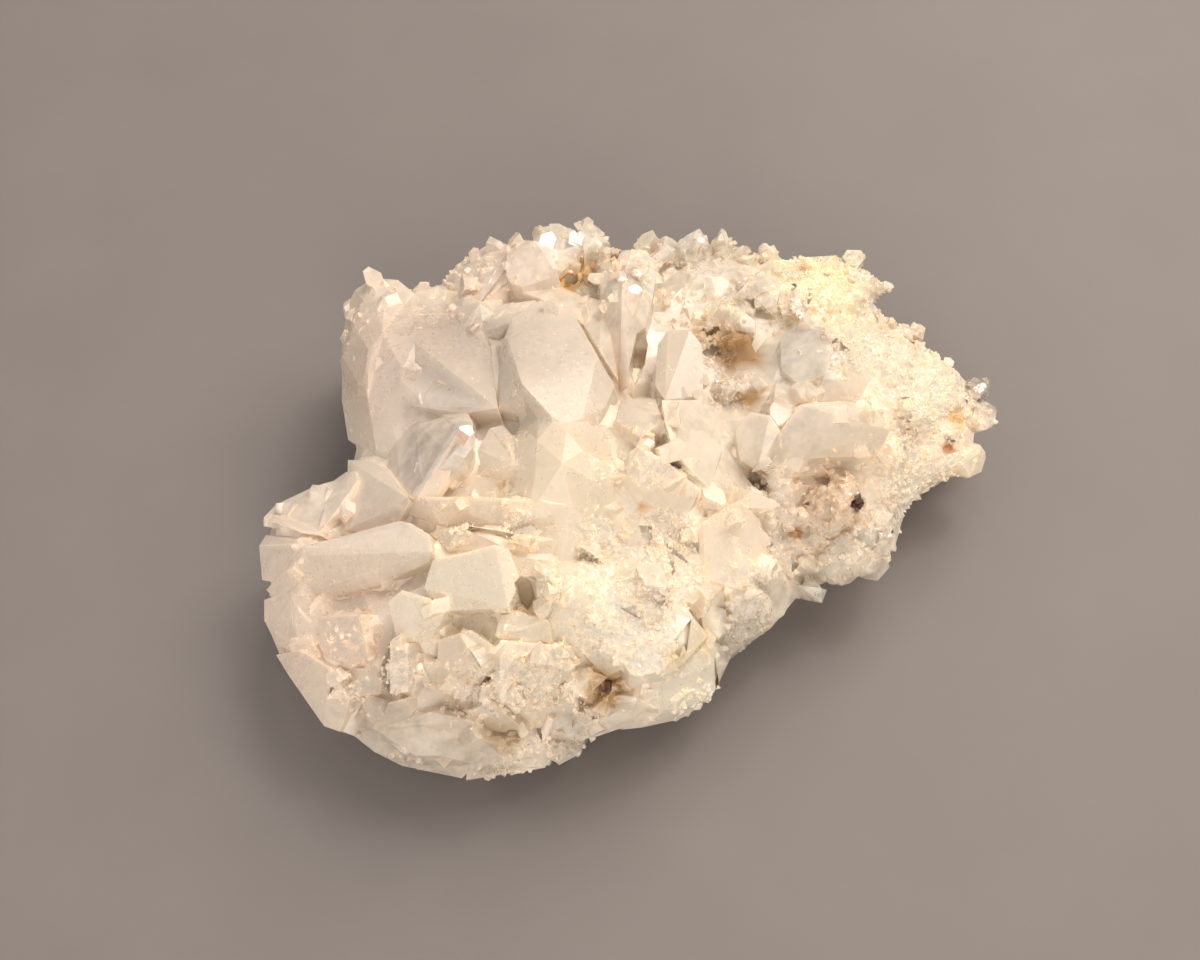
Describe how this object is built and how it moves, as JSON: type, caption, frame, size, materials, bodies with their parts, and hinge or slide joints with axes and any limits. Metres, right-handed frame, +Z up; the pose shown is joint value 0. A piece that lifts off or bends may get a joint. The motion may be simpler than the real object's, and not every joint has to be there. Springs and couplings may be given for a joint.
{
  "type": "clear quartz cluster",
  "caption": "Irregular mound of milky quartz with clear points and sugary druse grown over it, lying on a flat broken base.",
  "frame": {"origin": "centre of the bounding box, on the flat broken base", "axes": "+X along the longest extent, towards the narrow end with the fine druse; +Y away from the low front edge; +Z up"},
  "size_m": [0.1548, 0.1252, 0.051],
  "materials": {
    "quartz": "glassy, milky to clear, with sugary sparkling druse and faint iron staining in the hollows"
  },
  "bodies": {
    "root": {"quartz_cluster": "quartz"}
  },
  "joints": []
}
